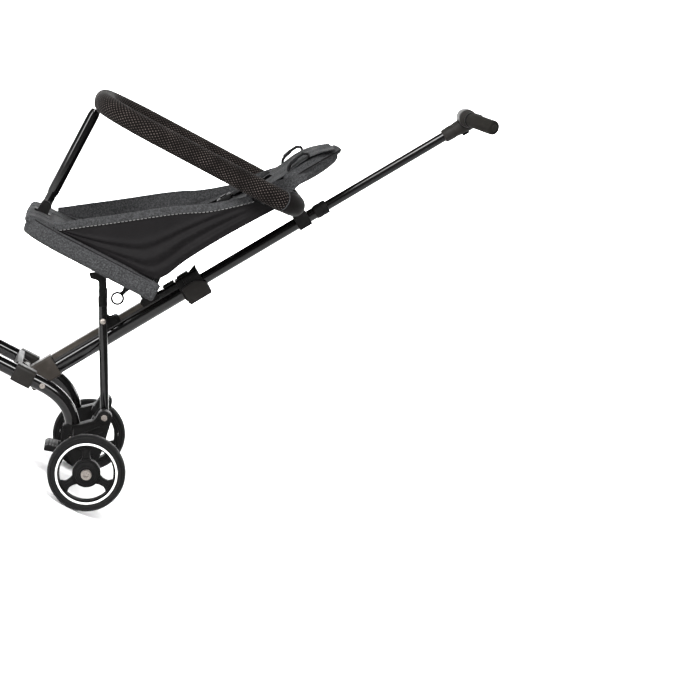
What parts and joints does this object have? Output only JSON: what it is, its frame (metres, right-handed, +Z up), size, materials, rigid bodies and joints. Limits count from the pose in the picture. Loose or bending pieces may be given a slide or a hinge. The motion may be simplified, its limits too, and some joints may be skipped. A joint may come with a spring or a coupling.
{
  "type": "stroller",
  "caption": "Folding stroller: a scissor frame with a centre pole and T-handle, a padded seat and back, a foam bumper bar, a crotch post, caster front wheels and a foot brake.",
  "frame": {"origin": "middle of the bounding box on the ground", "axes": "+Z up, +X to the rear (the handle's side), -Y the seated child's left"},
  "size_m": [0.8942, 0.4444, 1.038],
  "materials": {
    "tube_black": "gloss black lacquer",
    "black_plastic": "fine grained black",
    "grey_plastic": "satin dark grey",
    "steel": "plain zinc",
    "tyre": "matte",
    "rim": "satin white",
    "mesh_foam": "spacer mesh over foam",
    "charcoal_cloth": "smooth woven",
    "melange_cloth": "grey melange weave"
  },
  "bodies": {
    "base": {"base_tube_left": "tube_black", "base_tube_right": "tube_black", "rear_bracket_left": "black_plastic", "rear_bracket_right": "black_plastic", "swivel_housing_left": "black_plastic", "swivel_housing_right": "black_plastic", "strut_bolt_left": "steel", "strut_bolt_right": "steel", "stop_bolt_left": "steel", "stop_bolt_right": "steel", "rear_axle": "steel", "footrest": "black_plastic"},
    "brake": {"brake_pedal": "black_plastic"},
    "strut_frame": {"strut_left": "tube_black", "strut_right": "tube_black", "strut_head_left": "black_plastic", "strut_head_right": "black_plastic", "scissor_pin": "steel"},
    "pole": {"pole_knuckle": "grey_plastic", "main_tube": "tube_black", "pivot_saddle": "black_plastic", "seat_hinge_bracket": "black_plastic", "latch_box": "black_plastic", "clamp_collar": "black_plastic", "inner_tube": "tube_black", "end_collar": "black_plastic", "bumper_bracket": "black_plastic", "backrest_pad": "melange_cloth", "head_pad": "melange_cloth", "gusset_left": "charcoal_cloth", "gusset_right": "charcoal_cloth", "harness_buckle": "black_plastic"},
    "lever": {"clamp_lever": "grey_plastic"},
    "carriage": {"carriage": "grey_plastic", "carriage_pin": "steel"},
    "seat": {"seat_board": "black_plastic", "seat_rail_left": "black_plastic", "seat_rail_right": "black_plastic", "seat_pad": "melange_cloth", "post_socket": "black_plastic"},
    "ring": {"pull_ring": "black_plastic"},
    "post": {"crotch_post": "tube_black"},
    "yoke": {"bumper_yoke": "black_plastic"},
    "bumper": {"bumper_core": "tube_black", "bumper_foam": "mesh_foam"},
    "handle": {"handle_pole": "tube_black", "handle_hub": "black_plastic", "grip_left": "mesh_foam", "grip_right": "mesh_foam"},
    "button": {"release_button": "grey_plastic"},
    "fork_left": {"front_fork_left": "black_plastic"},
    "front_wheel_left": {"front_left_tyre": "tyre", "front_left_rim": "rim"},
    "rear_wheel_left": {"rear_left_tyre": "tyre", "rear_left_rim": "rim"},
    "fork_right": {"front_fork_right": "black_plastic"},
    "front_wheel_right": {"front_right_tyre": "tyre", "front_right_rim": "rim"},
    "rear_wheel_right": {"rear_right_tyre": "tyre", "rear_right_rim": "rim"}
  },
  "joints": [
    {"name": "frame_fold", "type": "hinge", "parent": "base", "child": "strut_frame", "pos_m": [0.03265, 0, 0.17], "axis": [0, -1, 0], "range_deg": [0, 55]},
    {"name": "pole_fold", "type": "hinge", "parent": "strut_frame", "child": "pole", "pos_m": [-0.05535, 0, 0.332], "axis": [0, -1, 0], "range_deg": [-110.5, 0.5]},
    {"name": "carriage_tilt", "type": "hinge", "parent": "pole", "child": "carriage", "pos_m": [-0.14335, 0, 0.17], "axis": [0, -1, 0], "range_deg": [-0.5, 55.5]},
    {"name": "seat_fold", "type": "hinge", "parent": "pole", "child": "seat", "pos_m": [-0.00025, 0, 0.40908], "axis": [0, -1, 0], "range_deg": [-0.5, 55.5], "deforming": ["gusset_left", "gusset_right"]},
    {"name": "post_fold", "type": "hinge", "parent": "seat", "child": "post", "pos_m": [-0.25635, 0, 0.476], "axis": [0, -1, 0], "range_deg": [-88.5, 0.5]},
    {"name": "ring_swing", "type": "hinge", "parent": "seat", "child": "ring", "pos_m": [-0.04335, -0.035, 0.404], "axis": [0, -1, 0], "range_deg": [-35, 35]},
    {"name": "yoke_turn", "type": "hinge", "parent": "pole", "child": "yoke", "pos_m": [0.16365, 0, 0.709], "axis": [0, -1, 0], "range_deg": [-0.5, 33.5]},
    {"name": "bumper_lift", "type": "hinge", "parent": "yoke", "child": "bumper", "pos_m": [0.16365, 0, 0.709], "axis": [0, -1, 0], "range_deg": [-65, 0]},
    {"name": "handle_slide", "type": "slide", "parent": "pole", "child": "handle", "axis": [0.5195, 0, 0.8545], "range_m": [-0.235, 0]},
    {"name": "button_press", "type": "slide", "parent": "handle", "child": "button", "axis": [-0.8545, 0, 0.5195], "range_m": [0, 0.003], "stiffness_N_per_m": 400, "springref_m": -0.002},
    {"name": "lever_open", "type": "hinge", "parent": "pole", "child": "lever", "pos_m": [0.08371, 0, 0.43995], "axis": [0, 1, 0], "range_deg": [0, 75]},
    {"name": "brake_press", "type": "hinge", "parent": "base", "child": "brake", "pos_m": [0.04465, 0, 0.075], "axis": [0, -1, 0], "range_deg": [0, 14]},
    {"name": "rear_wheel_left", "type": "hinge", "parent": "base", "child": "rear_wheel_left", "pos_m": [0.04465, -0.2, 0.075], "axis": [0, 1, 0], "continuous": true},
    {"name": "caster_left", "type": "hinge", "parent": "base", "child": "fork_left", "pos_m": [-0.40735, -0.135, 0.068], "axis": [0, 0, 1], "continuous": true},
    {"name": "front_wheel_left", "type": "hinge", "parent": "fork_left", "child": "front_wheel_left", "pos_m": [-0.37935, -0.135, 0.068], "axis": [0, 1, 0], "continuous": true},
    {"name": "rear_wheel_right", "type": "hinge", "parent": "base", "child": "rear_wheel_right", "pos_m": [0.04465, 0.2, 0.075], "axis": [0, 1, 0], "continuous": true},
    {"name": "caster_right", "type": "hinge", "parent": "base", "child": "fork_right", "pos_m": [-0.40735, 0.135, 0.068], "axis": [0, 0, 1], "continuous": true},
    {"name": "front_wheel_right", "type": "hinge", "parent": "fork_right", "child": "front_wheel_right", "pos_m": [-0.37935, 0.135, 0.068], "axis": [0, 1, 0], "continuous": true}
  ],
  "couplings": [
    {"joint": "pole_fold", "follows": "frame_fold", "ratio": -2},
    {"joint": "carriage_tilt", "follows": "frame_fold", "ratio": 1},
    {"joint": "seat_fold", "follows": "frame_fold", "ratio": 1},
    {"joint": "post_fold", "follows": "frame_fold", "ratio": -1.6},
    {"joint": "yoke_turn", "follows": "frame_fold", "ratio": 0.6}
  ]
}
